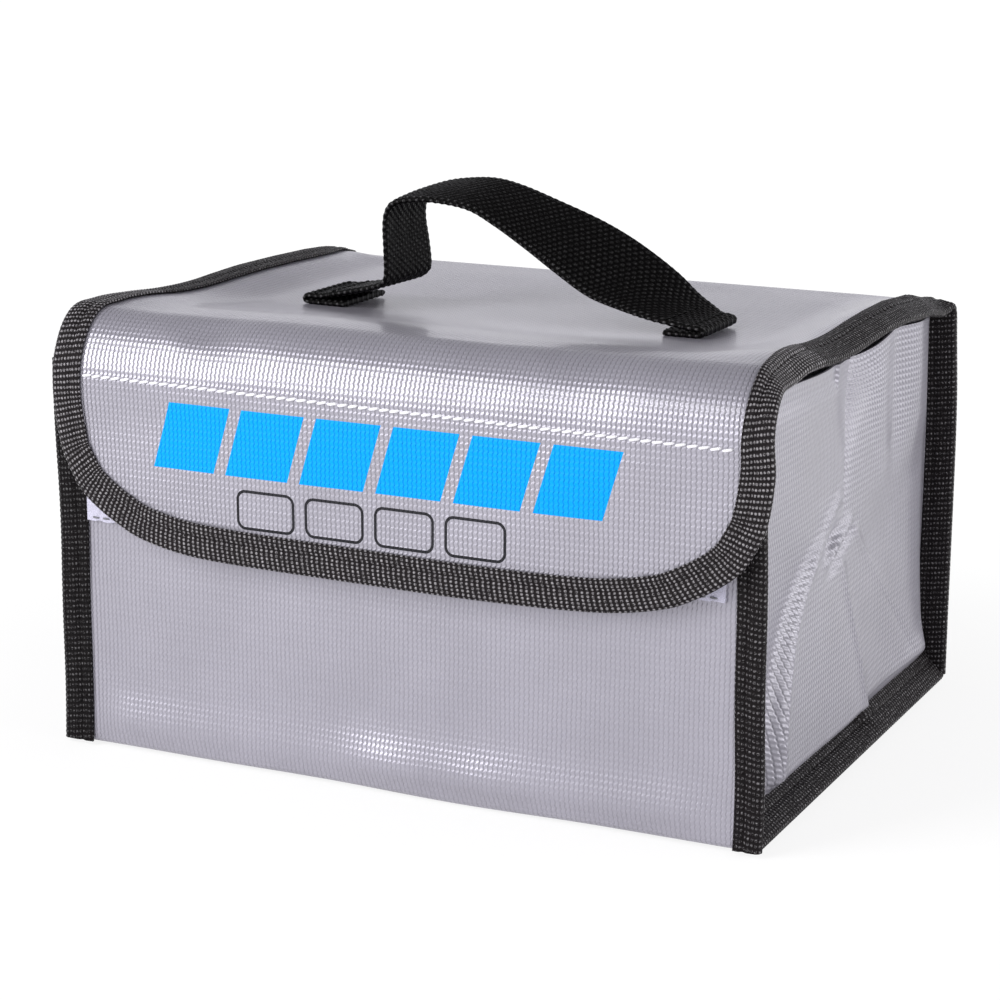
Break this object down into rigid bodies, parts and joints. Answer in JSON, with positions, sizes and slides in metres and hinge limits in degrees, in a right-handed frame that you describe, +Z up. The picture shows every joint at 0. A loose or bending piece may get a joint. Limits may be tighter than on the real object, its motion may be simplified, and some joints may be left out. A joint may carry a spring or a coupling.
{
  "type": "battery safe bag",
  "caption": "Box-shaped fire-resistant soft bag for rechargeable batteries, with bound seams, a hinged lid, a fold-down closing flap and a webbing carry handle.",
  "frame": {"origin": "centre of the base, on the ground plane", "axes": "+Z up; the front of the bag, where the flap closes, faces -Y; +X to the bag's right as seen from the front"},
  "size_m": [0.2182, 0.1758, 0.1587],
  "materials": {
    "cloth": "silver-grey coated woven glass cloth, satin to glossy, fine raised weave",
    "lining": "silver-grey coated woven lining cloth, satin",
    "binding": "matte black ribbed woven binding tape",
    "webbing": "coarse black woven webbing, slight sheen",
    "loop_tape": "pale loop pile tape, matte",
    "hook_tape": "pale moulded hook tape, satin",
    "light_thread": "light sewing thread",
    "grey_thread": "dark grey sewing thread",
    "black_thread": "black sewing thread"
  },
  "bodies": {
    "bag_body": {"front_panel": "cloth", "back_panel": "cloth", "bottom_panel": "cloth", "left_side_panel": "cloth", "right_side_panel": "cloth", "front_lining": "lining", "back_lining": "lining", "left_side_lining": "lining", "right_side_lining": "lining", "bottom_lining": "lining", "front_left_seam_binding": "binding", "front_right_seam_binding": "binding", "back_left_seam_binding": "binding", "back_right_seam_binding": "binding", "bottom_left_seam_binding": "binding", "bottom_right_seam_binding": "binding", "loop_strip": "loop_tape", "loop_strip_stitching": "grey_thread"},
    "lid": {"lid_panel": "cloth", "lid_lining": "lining", "lid_left_edge_binding": "binding", "lid_right_edge_binding": "binding", "handle_left_foot": "webbing", "handle_right_foot": "webbing", "handle_left_stitching": "black_thread", "handle_right_stitching": "black_thread"},
    "flap": {"flap_panel": "cloth", "flap_lining": "lining", "flap_edge_binding": "binding", "hook_strip": "hook_tape", "flap_top_stitching": "light_thread"},
    "handle": {"handle_strap": "webbing"}
  },
  "joints": [
    {"name": "lid_hinge", "type": "hinge", "parent": "bag_body", "child": "lid", "pos_m": [0, 0.0845, 0.1215], "axis": [-1, 0, 0], "range_deg": [0, 170]},
    {"name": "flap_fold", "type": "hinge", "parent": "lid", "child": "flap", "pos_m": [0, -0.08468, 0.12388], "axis": [-1, 0, 0], "range_deg": [0, 120]},
    {"name": "handle_swing", "type": "hinge", "parent": "lid", "child": "handle", "pos_m": [0, 0, 0.124], "axis": [1, 0, 0], "range_deg": [-30, 30], "stiffness_Nm_per_rad": 0.03}
  ]
}
